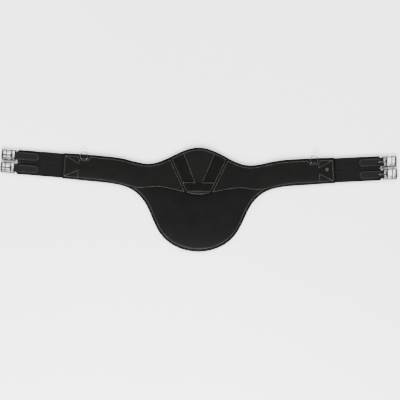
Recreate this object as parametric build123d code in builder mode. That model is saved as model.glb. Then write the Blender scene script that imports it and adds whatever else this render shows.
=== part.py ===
"""Stud girth: a padded leather saddle girth with a belly guard, elastic ends and roller buckles.

The girth lies flat with its outer face up. X runs along the girth, +Y towards the horse's front
legs, +Z out of the outer face. The origin is in the middle of the outline, on the resting plane.
Each arm's end is described in its own plane: s along the arm from the leather's end, v across it.
All sizes are in millimetres.
"""

import os
from math import cos, radians, sin, tan

from build123d import *

# ---- Outline ------------------------------------------------------------------------------
GUARD_REACH = 159.5  # front and rear edge of the belly guard, from the origin
ARM_END_X = 416.5  # middle of the leather's end, where the elastics come out
ARM_END_Y = 96.9
ARM_SLOPE = 3.7  # degrees that each arm rises towards its buckles
STRAP_WIDTH = 77.5  # leather width at that end
RIM = 5.0  # width of the rolled edge binding
BEYOND = 20.0  # how far working outlines run past the leather's end

# ---- Layers, from the lining up --------------------------------------------------------------
LINING = 1.4
ELASTIC = 2.4  # elastic webbing
PAD_UNDER_ELASTIC = 1.8  # foam left under the elastics' sewn ends
CORE_WEB = 1.8  # nylon web that carries the pull from end to end
GUARD_LEATHER = 2.0
STRAP_LEATHER = 2.2
CENTRE_LEATHER = 1.4
YOKE_LEATHER = 1.6

ELASTIC_Z = LINING + PAD_UNDER_ELASTIC  # underside of the elastics
ELASTIC_MID = ELASTIC_Z + ELASTIC / 2  # height of the line of pull
DECK_Z = ELASTIC_Z + ELASTIC + CORE_WEB  # face that the strap leather lies on
GUARD_FOAM_TOP = DECK_Z - GUARD_LEATHER
CENTRE_TOP = DECK_Z + CENTRE_LEATHER

# ---- Straps and webs --------------------------------------------------------------------------
WEB_WIDTH = 38.0
WEB_FIT = 0.2  # clearance round webs and elastics in the foam
SEWN_IN = 38.0  # length of elastic sewn inside the leather's end
ELASTIC_WIDTH = 37.0
LANE = 19.1  # each buckle's line, from the middle of the arm
WELT = 2.6  # piping in the two seams beside the centre panel
WELT_HEIGHT = 1.6
SEAM_FIT = 0.05  # side clearance of a welt in its seam

# ---- Buckles ----------------------------------------------------------------------------------
CHAPE_BAR_S = 147.8  # chape bar from the leather's end
CHAPE_WIDTH = 25.0
CHAPE_LEATHER = 1.8
CHAPE_LENGTH = 73.4  # from the chape bar to the rounded tip
CHAPE_GAP = 0.1  # between the chape and the elastic inside it
CHAPE_FLARE = 7.0  # length over which the chape opens to go round its bar
ELASTIC_SHORT = 3.8  # elastic stops this far before the chape bar
ELASTIC_CORNER = 6.0  # corners cut off the elastic's buckle end
FRAME_INNER = 26.2  # clear width for a billet
RAIL = 3.6
CHAPE_BAR_R = 2.0
TONGUE_BAR_R = 1.8
KEEPER_BAR_R = 1.6
ROLLER_BAR_R = 1.8
ROLLER_R = 3.0
TONGUE_BAR_AT = 12.3  # bars, from the chape bar
KEEPER_BAR_AT = 28.6
ROLLER_BAR_AT = 40.7
RUNNING = 0.1  # radial clearance of the roller, the tongue's eye and the chape
ROLLER_END = 0.3  # end clearance of the roller
TONGUE_WIDTH = 4.4
TONGUE_THICK = 2.2
TONGUE_EYE_R = 3.6
TONGUE_EYE_WIDTH = 12.0
TONGUE_REST = 0.1  # tongue's gap over the roller when it is shut
TONGUE_BACK = 138.0  # degrees that the right-hand tongues are thrown back, on to their chapes

# ---- Rings ------------------------------------------------------------------------------------
RING_S = -61.8  # middle of the ring, from the leather's end
RING_WIRE_R = 1.5
RING_WIDTH = 25.0
RING_BAR_V = 26.6
RING_ARC_V = 36.6  # centre of the ring's round end
TAB_WIDTH = 16.0
TAB_WALL = 1.0
TAB_SEWN = 7.0  # tab tucked in below the ring's bar
RING_FIT = 0.2
NOTCH_FLOOR_V = 23.4  # notch in the strap leather that bares the tab
NOTCH_FLOOR_HALF = 12.6
NOTCH_MOUTH_V = 46.0
NOTCH_MOUTH_HALF = 19.0

# ---- Curves, each a half of a symmetric shape, from X = 0 outwards --------------------------------
FRONT_EDGE = [(0, GUARD_REACH), (40, 151.5), (80, 133.0), (120, 114.4), (155, 107.2), (190, 111.5),
              (240, 122.6), (300, 129.2), (360, 133.0)]
REAR_EDGE = [(0, -GUARD_REACH), (40, -154.4), (80, -137.6), (110, -112.2), (130, -81.0), (150, -37.0),
             (165, -9.5), (180, 8.4), (200, 24.6), (222, 35.2), (260, 44.0), (340, 51.6)]
WAVE_EDGE = [(0, 14.0), (41, 20.8), (80, 29.4), (105, 34.2), (134, 36.2), (173, 31.8), (198, 34.0),
             (226, 40.6), (262, 48.8), (340, 57.0)]
GUARD_TOP_EDGE = [(0, 27.0), (80, 42.0), (134, 48.0), (175, 42.0), (206, 20.0), (222, -20.0)]
WEB_LINE = [(0, 76.0), (145, 75.5), (240, 82.4), (340, 91.4)]
SEAM_FOOT = (39.9, 24.0)  # two points on the seam beside the centre panel
SEAM_HEAD = (86.0, 122.0)
YOKE_NECK_FOOT = (13.9, 54.0)  # edge of the yoke's neck, and its cross band's upper edge
YOKE_NECK_HEAD = (48.4, 139.4)
YOKE_FOOT_Y = 23.4

ARM = Plane(origin=(ARM_END_X, ARM_END_Y, 0), x_dir=(cos(radians(ARM_SLOPE)), sin(radians(ARM_SLOPE)), 0),
            z_dir=(0, 0, 1))
SIDES = ("left", "right")
FAR = 400.0  # larger than any working region
INSET_STEPS = 32  # points along a curve that is set in from an edge


def on_arm(s, v, z=0.0):
    """Point at s along and v across the right arm, at height z."""
    return ARM.from_local_coords(Vector(s, v, z))


def arm_point(s, v):
    """The same place as an (x, y) pair."""
    point = on_arm(s, v)
    return (point.X, point.Y)


def arm_direction():
    """Direction of the right arm as a spline's end tangent."""
    return (ARM.x_dir.X, ARM.x_dir.Y)


def mirrored_region(upper, lower, upper_start=(1, 0), lower_start=(1, 0)):
    """Face between two half-curves and their mirror images, closed by a line at the far ends."""
    with BuildSketch() as region:
        with BuildLine():
            Spline(*upper, tangents=(upper_start, arm_direction()))
            Spline(*lower, tangents=(lower_start, arm_direction()))
            Line(upper[-1], lower[-1])
            mirror(about=Plane.YZ)
        make_face()
    return region.sketch


def body_zone():
    """Everything between the two leather ends."""
    front, rear = arm_point(0, FAR), arm_point(0, -FAR)
    with BuildSketch() as zone:
        with BuildLine():
            Polyline(front, rear, (-rear[0], rear[1]), (-front[0], front[1]), close=True)
        make_face()
    return zone.sketch


def inset(points, amount):
    """Points of a half-curve moved to its right-hand side, seen in its own direction."""
    if not amount:
        return points
    curve = Spline(*points, tangents=((1, 0), arm_direction()))
    moved = []
    for step in range(INSET_STEPS + 1):
        place = curve.position_at(step / INSET_STEPS)
        along = curve.tangent_at(step / INSET_STEPS)
        moved.append((place.X + amount * along.Y, place.Y - amount * along.X))
    return moved


def girth_outline(rim=0.0):
    """Outline of the whole girth, or the part of it inside the rolled edge."""
    half = STRAP_WIDTH / 2
    front = FRONT_EDGE + [arm_point(0, half), arm_point(BEYOND, half)]
    rear = REAR_EDGE + [arm_point(0, -half), arm_point(BEYOND, -half)]
    with BuildSketch() as outline:
        add(mirrored_region(inset(front, rim), inset(rear, -rim)))
        add(body_zone(), mode=Mode.INTERSECT)
    return outline.sketch


def strap_region():
    """Everything in front of the strap leather's wavy rear edge."""
    inset = STRAP_WIDTH / 2 - RIM
    rear = WAVE_EDGE + [arm_point(0, -inset), arm_point(BEYOND, -inset)]
    return mirrored_region([(0, FAR), arm_point(BEYOND, FAR)], rear)


def guard_region():
    """Everything behind the guard leather's top edge, which the strap leather overlaps."""
    with BuildSketch() as region:
        with BuildLine():
            Spline(*GUARD_TOP_EDGE, tangents=((1, 0), (0.3, -1)))
            edge = GUARD_TOP_EDGE[-1]
            Polyline(edge, (edge[0], -FAR), (0, -FAR))
            mirror(about=Plane.YZ)
        make_face()
    return region.sketch


def web_region(half_width, reach):
    """The core web's path, from end to end of the leather."""
    upper = [(x, y + half_width) for x, y in WEB_LINE] + [arm_point(reach, half_width)]
    lower = [(x, y - half_width) for x, y in WEB_LINE] + [arm_point(reach, -half_width)]
    return mirrored_region(upper, lower)


def seam_x(y, shift=0.0):
    """X of the right-hand seam at a height y, moved outwards by shift across the seam."""
    run = (SEAM_HEAD[0] - SEAM_FOOT[0]) / (SEAM_HEAD[1] - SEAM_FOOT[1])
    across = shift * (1 + run * run) ** 0.5
    return SEAM_FOOT[0] + run * (y - SEAM_FOOT[1]) + across


def between_seams(shift):
    """Everything between the two seams, each moved outwards by shift."""
    top, foot = GUARD_REACH + BEYOND, -BEYOND
    corners = [(seam_x(foot, shift), foot), (seam_x(top, shift), top)]
    with BuildSketch() as region:
        with BuildLine():
            Polyline(*corners, (-corners[1][0], top), (-corners[0][0], foot), close=True)
        make_face()
    return region.sketch


def ring_notches():
    """Notches in the front of the strap leather, one at each ring."""
    right = [arm_point(RING_S - NOTCH_MOUTH_HALF, NOTCH_MOUTH_V),
             arm_point(RING_S - NOTCH_FLOOR_HALF, NOTCH_FLOOR_V),
             arm_point(RING_S + NOTCH_FLOOR_HALF, NOTCH_FLOOR_V),
             arm_point(RING_S + NOTCH_MOUTH_HALF, NOTCH_MOUTH_V)]
    with BuildSketch() as notches:
        with BuildLine():
            Polyline(*right, close=True)
        make_face()
        mirror(about=Plane.YZ)
    return notches.sketch


def elastic_pockets():
    """Room in the pad and the binding for the elastics' sewn ends, both arms."""
    with BuildPart() as pockets:
        reach = SEWN_IN + BEYOND
        with BuildSketch(top_plane(ELASTIC_Z)):
            with Locations(((BEYOND - SEWN_IN) / 2, 0)):
                Rectangle(reach + 2 * WEB_FIT, 2 * LANE + ELASTIC_WIDTH + 2 * WEB_FIT)
        extrude(amount=ELASTIC)
        mirror(about=Plane.YZ)
    return pockets.part


def tab_pocket_box():
    """Room in the pad for a ring tab's sewn part, right arm."""
    with BuildPart() as pocket:
        depth = 2 * TAB_WALL
        low = RING_BAR_V - TAB_SEWN - WEB_FIT
        high = RING_BAR_V + RING_WIRE_R + RING_FIT + TAB_WALL + WEB_FIT
        with BuildSketch(top_plane(DECK_Z - depth)):
            with Locations((RING_S, (low + high) / 2)):
                Rectangle(TAB_WIDTH + 2 * WEB_FIT, high - low)
        extrude(amount=depth)
        mirror(about=Plane.YZ)
    return pocket.part


def finish(builder, name):
    """Label a finished piece and write it to its STEP file."""
    builder.part.label = name
    export_step(builder.part, f"parts/{name}.step")


# ---- Body of the girth ---------------------------------------------------------------------------
def make_lining(outline):
    with BuildPart() as lining:
        add(outline)
        extrude(amount=LINING)
    finish(lining, "lining")


def make_bindings(outline, inside, pockets):
    """Rolled edge, in a front and a rear length."""
    for name, keep in (("front_edge_binding", Keep.TOP), ("rear_edge_binding", Keep.BOTTOM)):
        with BuildPart() as binding:
            with BuildSketch(Plane.XY.offset(LINING)) as rim:
                add(outline)
                add(inside, mode=Mode.SUBTRACT)
            extrude(amount=DECK_Z - LINING)
            add(pockets, mode=Mode.SUBTRACT)
            with BuildSketch(Plane.XY.offset(LINING)):
                add(half_zone(front=keep is Keep.TOP))
            extrude(amount=DECK_Z - LINING, mode=Mode.INTERSECT)
        finish(binding, name)


def half_zone(front):
    """The side of the web's middle line that holds the front, or the rear, edge."""
    line = WEB_LINE + [arm_point(BEYOND, 0)]
    far = FAR if front else -FAR
    return mirrored_region(line, [(0, far), arm_point(BEYOND, far)])


def make_foam(inside, pockets):
    with BuildPart() as guard_foam:
        with BuildSketch(Plane.XY.offset(LINING)):
            add(inside)
            add(guard_region(), mode=Mode.INTERSECT)
        extrude(amount=GUARD_FOAM_TOP - LINING)
    finish(guard_foam, "guard_foam")

    with BuildPart() as strap_foam:
        with BuildSketch(Plane.XY.offset(LINING)):
            add(inside)
            add(guard_region(), mode=Mode.SUBTRACT)
        extrude(amount=DECK_Z - LINING)
        with BuildSketch(Plane.XY.offset(DECK_Z - CORE_WEB)):
            add(web_region(WEB_WIDTH / 2 + WEB_FIT, BEYOND))
        extrude(amount=CORE_WEB, mode=Mode.SUBTRACT)
        add(pockets, mode=Mode.SUBTRACT)
        add(tab_pocket_box(), mode=Mode.SUBTRACT)
    finish(strap_foam, "strap_foam")


def make_core_web():
    with BuildPart() as web:
        with BuildSketch(Plane.XY.offset(DECK_Z - CORE_WEB)):
            add(web_region(WEB_WIDTH / 2, 0))
        extrude(amount=CORE_WEB)
    finish(web, "core_web")


def make_guard_leather(inside):
    with BuildPart() as guard:
        with BuildSketch(Plane.XY.offset(GUARD_FOAM_TOP)):
            add(inside)
            add(guard_region(), mode=Mode.INTERSECT)
        extrude(amount=GUARD_LEATHER)
    finish(guard, "guard_leather")


def make_strap_leathers(inside):
    """Left and right strap panels, from the seam beside the centre panel to the leather's end."""
    for side, sign in zip(SIDES, (-1, 1)):
        with BuildPart() as panel:
            with BuildSketch(Plane.XY.offset(DECK_Z)):
                add(inside)
                add(strap_region(), mode=Mode.INTERSECT)
                add(between_seams(WELT / 2), mode=Mode.SUBTRACT)
                add(ring_notches(), mode=Mode.SUBTRACT)
                with Locations((-sign * FAR, 0)):
                    Rectangle(2 * FAR, 2 * FAR, mode=Mode.SUBTRACT)
            extrude(amount=STRAP_LEATHER)
        finish(panel, f"{side}_strap_leather")


def make_centre(inside):
    with BuildPart() as centre:
        with BuildSketch(Plane.XY.offset(DECK_Z)):
            add(inside)
            add(strap_region(), mode=Mode.INTERSECT)
            add(between_seams(-WELT / 2), mode=Mode.INTERSECT)
        extrude(amount=CENTRE_LEATHER)
    finish(centre, "centre_panel")

    run = (YOKE_NECK_HEAD[0] - YOKE_NECK_FOOT[0]) / (YOKE_NECK_HEAD[1] - YOKE_NECK_FOOT[1])
    window_top = GUARD_REACH + BEYOND
    window = [YOKE_NECK_FOOT, (YOKE_NECK_FOOT[0] + run * (window_top - YOKE_NECK_FOOT[1]), window_top),
              (FAR, window_top), (FAR, YOKE_NECK_FOOT[1])]
    with BuildSketch() as windows:
        with BuildLine():
            Polyline(*window, close=True)
        make_face()
        mirror(about=Plane.YZ)
    with BuildPart() as yoke:
        with BuildSketch(Plane.XY.offset(CENTRE_TOP)):
            add(inside)
            add(between_seams(-WELT / 2), mode=Mode.INTERSECT)
            with Locations((0, YOKE_FOOT_Y - FAR)):
                Rectangle(2 * FAR, 2 * FAR, mode=Mode.SUBTRACT)
            add(windows.sketch, mode=Mode.SUBTRACT)
        extrude(amount=YOKE_LEATHER)
    finish(yoke, "centre_yoke")

    for side, sign in zip(SIDES, (-1, 1)):
        with BuildPart() as welt:
            with BuildSketch(Plane.XY.offset(DECK_Z)):
                add(inside)
                add(strap_region(), mode=Mode.INTERSECT)
                add(between_seams(WELT / 2 - SEAM_FIT), mode=Mode.INTERSECT)
                add(between_seams(-WELT / 2 + SEAM_FIT), mode=Mode.SUBTRACT)
                with Locations((-sign * FAR, 0)):
                    Rectangle(2 * FAR, 2 * FAR, mode=Mode.SUBTRACT)
            extrude(amount=WELT_HEIGHT)
        finish(welt, f"{side}_seam_welt")


# ---- Pieces of one arm's end, drawn on the right arm -------------------------------------------------
def side_plane(v):
    """Plane across the arm at v, with s to the right and Z up."""
    return Plane(origin=on_arm(0, v), x_dir=ARM.x_dir, z_dir=-ARM.y_dir)


def top_plane(z):
    """Plane of the arm at height z, with s to the right and v up."""
    return Plane(origin=on_arm(0, 0, z), x_dir=ARM.x_dir, z_dir=ARM.z_dir)


def write_both(builder, name, left=True, right=True):
    """Write the right-hand piece, and its mirror image for the left arm."""
    if right:
        finish(builder, f"right_{name}")
    if left:
        with BuildPart() as mirrored:
            add(mirror(builder.part, about=Plane.YZ))
        finish(mirrored, f"left_{name}")


def make_elastic(lane, v):
    end_s = CHAPE_BAR_S - ELASTIC_SHORT
    with BuildPart() as elastic:
        with BuildSketch(top_plane(ELASTIC_Z)) as plan:
            with Locations(((end_s - SEWN_IN) / 2, v)):
                Rectangle(end_s + SEWN_IN, ELASTIC_WIDTH)
            chamfer(plan.vertices().sort_by(Axis(ARM.origin, ARM.x_dir))[-2:], ELASTIC_CORNER)
        extrude(amount=ELASTIC)
    write_both(elastic, f"{lane}_elastic")


def make_chape(lane, v):
    """Leather folded round the buckle's bar, with the elastic's end sewn between its two legs."""
    hold, wall = ELASTIC / 2 + CHAPE_GAP, CHAPE_LEATHER
    eye = CHAPE_BAR_R + RUNNING
    tip = CHAPE_BAR_S - CHAPE_LENGTH
    flare = CHAPE_BAR_S - CHAPE_FLARE
    mid = ELASTIC_MID
    with BuildPart() as chape:
        with BuildSketch(side_plane(v)):
            with BuildLine():
                Polyline((CHAPE_BAR_S, mid + eye), (flare, mid + hold), (tip, mid + hold),
                         (tip, mid + hold + wall), (flare, mid + hold + wall), (CHAPE_BAR_S, mid + eye + wall))
                ThreePointArc((CHAPE_BAR_S, mid + eye + wall), (CHAPE_BAR_S + eye + wall, mid),
                              (CHAPE_BAR_S, mid - eye - wall))
                Polyline((CHAPE_BAR_S, mid - eye - wall), (flare, mid - hold - wall), (tip, mid - hold - wall),
                         (tip, mid - hold), (flare, mid - hold), (CHAPE_BAR_S, mid - eye))
                ThreePointArc((CHAPE_BAR_S, mid - eye), (CHAPE_BAR_S + eye, mid), (CHAPE_BAR_S, mid + eye))
            make_face()
        extrude(amount=CHAPE_WIDTH / 2, both=True)
        with BuildSketch(top_plane(mid - eye - wall)):
            round_end = CHAPE_WIDTH / 2
            length = CHAPE_LENGTH + eye + wall - round_end
            with Locations((tip + round_end + length / 2, v)):
                Rectangle(length, CHAPE_WIDTH)
            with Locations((tip + round_end, v)):
                Circle(round_end)
        extrude(amount=2 * (eye + wall), mode=Mode.INTERSECT)
    write_both(chape, f"{lane}_chape")


def make_frame(lane, v):
    """Buckle frame: two rails joined by chape, tongue, keeper and roller bars."""
    rail_mid = (FRAME_INNER + RAIL) / 2
    start, end = CHAPE_BAR_S, CHAPE_BAR_S + ROLLER_BAR_AT
    bars = ((0, CHAPE_BAR_R), (TONGUE_BAR_AT, TONGUE_BAR_R), (KEEPER_BAR_AT, KEEPER_BAR_R),
            (ROLLER_BAR_AT, ROLLER_BAR_R))
    with BuildPart() as frame:
        with BuildSketch(top_plane(ELASTIC_MID - RAIL / 2)):
            for across in (-rail_mid, rail_mid):
                with Locations(((start + end) / 2, v + across)):
                    SlotCenterToCenter(end - start, RAIL)
        extrude(amount=RAIL)
        chamfer(frame.edges().filter_by(GeomType.LINE).filter_by(Axis(ARM.origin, ARM.x_dir)), 0.6)
        for at, radius in bars:
            with BuildSketch(side_plane(v)):
                with Locations((start + at, ELASTIC_MID)):
                    Circle(radius)
            extrude(amount=rail_mid, both=True)
    write_both(frame, f"{lane}_buckle_frame")


def make_roller(lane, v):
    with BuildPart() as roller:
        with BuildSketch(side_plane(v)):
            with Locations((CHAPE_BAR_S + ROLLER_BAR_AT, ELASTIC_MID)):
                Circle(ROLLER_R)
                Circle(ROLLER_BAR_R + RUNNING, mode=Mode.SUBTRACT)
        extrude(amount=FRAME_INNER / 2 - ROLLER_END, both=True)
    write_both(roller, f"{lane}_roller")


def make_tongue(lane, v):
    """Tongue shut on its roller on the left arm, and thrown back on the right arm."""
    pivot_s = CHAPE_BAR_S + TONGUE_BAR_AT
    roller_s = CHAPE_BAR_S + ROLLER_BAR_AT
    tip_s = roller_s + ROLLER_R
    mid = ELASTIC_MID
    under = mid + ROLLER_R + TONGUE_REST
    heel = mid + TONGUE_EYE_R - TONGUE_THICK
    with BuildPart() as tongue:
        with BuildSketch(side_plane(v)):
            with BuildLine():
                Polyline((pivot_s, heel), (roller_s - ROLLER_R, under), (tip_s, under),
                         (tip_s, under + TONGUE_THICK / 2), (tip_s - TONGUE_THICK, under + TONGUE_THICK),
                         (roller_s - ROLLER_R, under + TONGUE_THICK), (pivot_s, heel + TONGUE_THICK),
                         close=True)
            make_face()
        extrude(amount=TONGUE_WIDTH / 2, both=True)
        with BuildSketch(side_plane(v)):
            with Locations((pivot_s, mid)):
                Circle(TONGUE_EYE_R)
        extrude(amount=TONGUE_EYE_WIDTH / 2, both=True)
        with BuildSketch(side_plane(v)):
            with Locations((pivot_s, mid)):
                Circle(TONGUE_BAR_R + RUNNING)
        extrude(amount=TONGUE_EYE_WIDTH, both=True, mode=Mode.SUBTRACT)
    write_both(tongue, f"{lane}_tongue", right=False)

    pivot = Axis(on_arm(pivot_s, v, mid), -ARM.y_dir)
    with BuildPart() as thrown_back:
        add(tongue.part.rotate(pivot, TONGUE_BACK))
    write_both(thrown_back, f"{lane}_tongue", left=False)


def make_ring():
    """D-shaped ring, lying flat over the strap's front edge."""
    reach = RING_WIDTH / 2 - RING_WIRE_R
    height = DECK_Z + RING_WIRE_R + RING_FIT
    with BuildPart() as ring:
        with BuildLine(top_plane(height)):
            FilletPolyline((RING_S, RING_BAR_V), (RING_S - reach, RING_BAR_V), (RING_S - reach, RING_ARC_V),
                           radius=2 * RING_WIRE_R)
            ThreePointArc((RING_S - reach, RING_ARC_V), (RING_S, RING_ARC_V + reach), (RING_S + reach, RING_ARC_V))
            FilletPolyline((RING_S + reach, RING_ARC_V), (RING_S + reach, RING_BAR_V), (RING_S, RING_BAR_V),
                           radius=2 * RING_WIRE_R)
        with BuildSketch(Plane(origin=on_arm(RING_S, RING_BAR_V, height), x_dir=ARM.y_dir, z_dir=ARM.x_dir)):
            Circle(RING_WIRE_R)
        sweep()
    write_both(ring, "ring")


def make_ring_tab():
    """Webbing tab folded round the ring's bar, with its tail sewn under the strap leather."""
    height = DECK_Z + RING_WIRE_R + RING_FIT
    across = Plane(origin=on_arm(RING_S, 0), x_dir=ARM.y_dir, z_dir=ARM.x_dir)
    loop = RING_WIRE_R + RING_FIT + TAB_WALL
    with BuildPart() as tab:
        with BuildSketch(across):
            with Locations((RING_BAR_V, height)):
                Circle(loop)
            with Locations((RING_BAR_V - TAB_SEWN / 2, DECK_Z - TAB_WALL)):
                Rectangle(TAB_SEWN, 2 * TAB_WALL)
            with Locations((RING_BAR_V, height)):
                Circle(RING_WIRE_R + RING_FIT, mode=Mode.SUBTRACT)
        extrude(amount=TAB_WIDTH / 2, both=True)
    write_both(tab, "ring_tab")


def main():
    """Build every piece and write its STEP file."""
    os.makedirs("parts", exist_ok=True)
    outline = girth_outline()
    inside = girth_outline(rim=RIM)
    pockets = elastic_pockets()
    make_lining(outline)
    make_bindings(outline, inside, pockets)
    make_foam(inside, pockets)
    make_core_web()
    make_guard_leather(inside)
    make_strap_leathers(inside)
    make_centre(inside)
    for lane, v in (("front", LANE), ("rear", -LANE)):
        make_elastic(lane, v)
        make_chape(lane, v)
        make_frame(lane, v)
        make_roller(lane, v)
        make_tongue(lane, v)
    make_ring()
    make_ring_tab()


main()
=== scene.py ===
"""Stud girth: the looks of a padded leather girth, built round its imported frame.

The girth lies flat, outer face up. X runs along it, +Y towards the horse's front legs, +Z up.
Shapes are worked out in millimetres and written to their meshes in metres.
"""

import logging
import math
from collections.abc import Callable, Sequence
from dataclasses import dataclass, field
from enum import Enum

import bpy
import numpy as np
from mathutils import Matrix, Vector
from numpy.typing import NDArray


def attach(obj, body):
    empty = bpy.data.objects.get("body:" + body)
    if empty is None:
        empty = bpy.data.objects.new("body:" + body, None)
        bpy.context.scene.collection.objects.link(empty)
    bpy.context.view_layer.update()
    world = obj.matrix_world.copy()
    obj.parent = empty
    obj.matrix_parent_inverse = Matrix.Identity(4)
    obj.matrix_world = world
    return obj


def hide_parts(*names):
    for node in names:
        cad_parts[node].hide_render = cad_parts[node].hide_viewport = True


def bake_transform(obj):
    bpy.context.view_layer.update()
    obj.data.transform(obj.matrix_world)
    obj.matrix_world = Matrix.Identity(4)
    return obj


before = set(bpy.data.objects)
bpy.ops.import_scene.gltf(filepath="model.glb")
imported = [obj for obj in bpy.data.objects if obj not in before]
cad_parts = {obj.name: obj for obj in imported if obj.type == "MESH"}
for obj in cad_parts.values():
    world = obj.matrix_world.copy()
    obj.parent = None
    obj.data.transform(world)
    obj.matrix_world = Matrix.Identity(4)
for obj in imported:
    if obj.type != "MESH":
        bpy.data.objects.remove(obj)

Array = NDArray[np.float64]
Height = Callable[[Array], Array]
log = logging.getLogger("girth")

MM = 0.001
GIRTH = "girth"

# ---- The outline that the maker cuts to, as half-curves from the middle outwards (mm) ----------
FRONT_EDGE = ((0, 159.5), (40, 151.5), (80, 133.0), (120, 114.4), (155, 107.2), (190, 111.5),
              (240, 122.6), (300, 129.2), (360, 133.0))
REAR_EDGE = ((0, -159.5), (40, -154.4), (80, -137.6), (110, -112.2), (130, -81.0), (150, -37.0),
             (165, -9.5), (180, 8.4), (200, 24.6), (222, 35.2), (260, 44.0), (340, 51.6))
WAVE_EDGE = ((0, 14.0), (41, 20.8), (80, 29.4), (105, 34.2), (134, 36.2), (173, 31.8), (198, 34.0),
             (226, 40.6), (262, 48.8), (340, 57.0))
BEYOND = 20.0                        # The edges are drawn this far past the leather's end, then cut
LEATHER_HALF = 38.75
WAVE_SHORT = 5.0                     # The wave ends this far inside the rear edge
ARM_END = (416.5, 96.9)
ARM_SLOPE = math.radians(3.7)
ALONG = np.array([math.cos(ARM_SLOPE), math.sin(ARM_SLOPE)])
ACROSS = np.array([-ALONG[1], ALONG[0]])
RING_S = -61.8                       # Where a ring's bar lies along the arm

# ---- Levels and layers (mm above the table) ------------------------------------------------------
LINING = 1.4
ELASTIC_LOW = 3.2
ELASTIC_HIGH = 5.6
DECK = 7.4
LINE_OF_PULL = 4.4
STRAP_LEATHER = 2.2
CLEAR = 0.02                         # Daylight between two layers that lie on each other

SAMPLE = 0.8                         # Spacing of the samples that distances are measured to
WAVE_STEP = 0.314                    # Metres from crest to crest of a wave texture of scale 1


class Side(Enum):
    """An end of the girth, with the sign of its X."""

    LEFT = -1
    RIGHT = 1

    @property
    def word(self) -> str:
        """The side's name as it stands in the frame's bodies."""
        return self.name.lower()


class Lane(Enum):
    """One of the two buckle lines at an end, with its offset across the arm in millimetres."""

    FRONT = 19.1
    REAR = -19.1

    @property
    def word(self) -> str:
        """The lane's name as it stands in the frame's bodies."""
        return self.name.lower()


# ==== Curves ========================================================================================
def arm(s: Array | float, v: Array | float) -> Array:
    """Place on the right arm, s along it from the leather's end and v across it.

    Args:
        s: Distance along the arm, outwards.
        v: Distance across the arm, towards the front edge.

    Returns:
        Points (x, y): the arm's end plus s times the arm's direction plus v times its normal.
    """
    s_part = np.multiply.outer(np.asarray(s, float), ALONG)
    v_part = np.multiply.outer(np.asarray(v, float), ACROSS)
    return np.array(ARM_END) + s_part + v_part


def smooth(half_edge: Sequence[Sequence[float]], v: float, spacing: float = 1.5) -> Array:
    """Smooth curve through a half-edge's points and on along the arm, evenly sampled.

    A cubic with continuous curvature: the slopes at the points solve the usual three-term rows,
    with the chords as parameter. It starts along X and ends in the arm's direction.

    Args:
        half_edge: The points it goes through, from the middle outwards.
        v: Its distance across the arm, from the leather's end on.
        spacing: Distance between samples.

    Returns:
        Samples of shape (n, 2).
    """
    p = np.vstack([half_edge, arm([0, BEYOND], [v, v])])
    h = np.linalg.norm(np.diff(p, axis=0), axis=1)
    chord = np.diff(p, axis=0) / h[:, None]
    n = len(p)
    rows = np.zeros((n, n))
    right = np.zeros((n, 2))
    rows[0, 0] = rows[-1, -1] = 1
    right[0], right[-1] = (1, 0), ALONG
    inner = np.arange(1, n - 1)
    rows[inner, inner - 1] = h[1:]
    rows[inner, inner] = 2 * (h[:-1] + h[1:])
    rows[inner, inner + 1] = h[:-1]
    right[inner] = 3 * (h[1:, None] * chord[:-1] + h[:-1, None] * chord[1:])
    slope = np.linalg.solve(rows, right)
    t = np.linspace(0, 1, 24, endpoint=False)[None, :, None]
    a, b, ha = p[:-1, None], p[1:, None], h[:, None, None]
    curve = ((1 + 2 * t) * (1 - t) ** 2 * a + t * (1 - t) ** 2 * ha * slope[:-1, None]
             + t * t * (3 - 2 * t) * b + t * t * (t - 1) * ha * slope[1:, None])
    dense = np.vstack([curve.reshape(-1, 2), p[-1]])
    return even(dense, spacing)


def lengths(path: Array) -> Array:
    """Distance of each point of a path from its first."""
    return np.concatenate([[0], np.cumsum(np.linalg.norm(np.diff(path, axis=0), axis=1))])


def along_path(path: Array, at: Array) -> Array:
    """Points of a path at the given distances from its first point."""
    run = lengths(path)
    return np.stack([np.interp(at, run, path[:, k]) for k in range(path.shape[1])], axis=1)


def even(path: Array, spacing: float) -> Array:
    """The same path with points about spacing apart, ends kept."""
    total = lengths(path)[-1]
    return along_path(path, np.linspace(0, total, max(2, round(total / spacing) + 1)))


def headings(path: Array) -> Array:
    """Unit direction of a path at each of its points."""
    step = np.gradient(path, axis=0)
    return step / np.linalg.norm(step, axis=1)[:, None]


def right_hand(path: Array) -> Array:
    """Unit normal on a path's right-hand side at each of its points."""
    return headings(path)[:, ::-1] * (1, -1)


def moved_in(path: Array, amount: float) -> Array:
    """A path moved to its right-hand side by amount, each point along its own normal."""
    return path + amount * right_hand(path)


def both_halves(half: Array) -> Array:
    """A half-curve from the middle outwards, joined to its mirror image: far left to far right."""
    return np.vstack([half[:0:-1] * (-1, 1), half])


def front_edge(inset: float = 0.0) -> Array:
    """Right half of the front edge, from the middle to the leather's end, set in by inset."""
    return cut_at_end(moved_in(smooth(FRONT_EDGE, LEATHER_HALF), inset))


def rear_edge(inset: float = 0.0) -> Array:
    """Right half of the rear edge, from the middle to the leather's end, set in by inset."""
    return cut_at_end(moved_in(smooth(REAR_EDGE, -LEATHER_HALF), -inset))


def wave_edge(shift: float = 0.0) -> Array:
    """Right half of the strap leather's rear edge, moved towards the front by shift."""
    return cut_at_end(moved_in(smooth(WAVE_EDGE, -LEATHER_HALF + WAVE_SHORT), -shift))


def up_to(path: Array, past: Array) -> Array:
    """The start of a path, up to where past first rises through zero.

    Args:
        path: The path's points.
        past: A measure of each point, below zero for those to keep.

    Returns:
        The points kept and the point between two samples where the measure is zero.
    """
    stop = int(np.argmax(past > 0))
    if stop == 0:
        return path
    share = past[stop - 1] / (past[stop - 1] - past[stop])
    return np.vstack([path[:stop], path[stop - 1] + share * (path[stop] - path[stop - 1])])


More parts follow.
